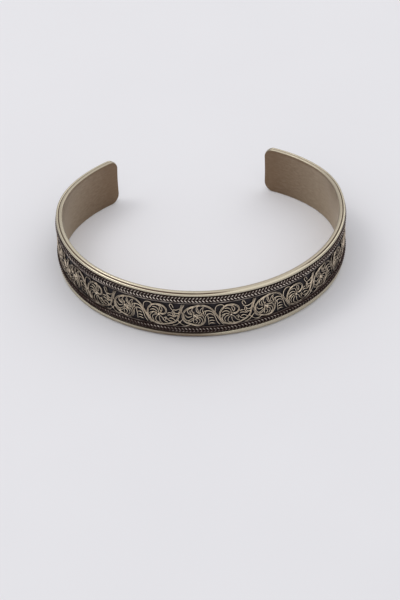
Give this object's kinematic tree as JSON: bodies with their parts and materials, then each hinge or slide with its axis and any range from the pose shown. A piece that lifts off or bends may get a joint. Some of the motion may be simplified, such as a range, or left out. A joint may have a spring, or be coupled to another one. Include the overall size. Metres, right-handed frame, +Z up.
{
  "type": "cuff bracelet",
  "caption": "Open cuff bracelet with a domed band, wire rims, twisted-wire borders and raised scrollwork around its outer face.",
  "frame": {"origin": "under the middle of the cuff, in the plane that its lower edge rests on", "axes": "+X across the wrist, the cuff's longest extent; +Y from the front of the cuff towards the gap at its back; +Z up, along the wrist, the cuff's shortest extent"},
  "size_m": [0.0646, 0.0526, 0.0118],
  "materials": {
    "band_brass": "antiqued pale brass, satin inside, polished on the rims, blackened between the ornament",
    "border_wire": "antiqued pale brass, worn bright on the crests of the twist and dark between them",
    "scroll_wire": "antiqued pale brass, worn bright on the ridges"
  },
  "bodies": {
    "root": {"band": "band_brass", "upper_border": "border_wire", "lower_border": "border_wire", "scrollwork": "scroll_wire"}
  },
  "joints": []
}
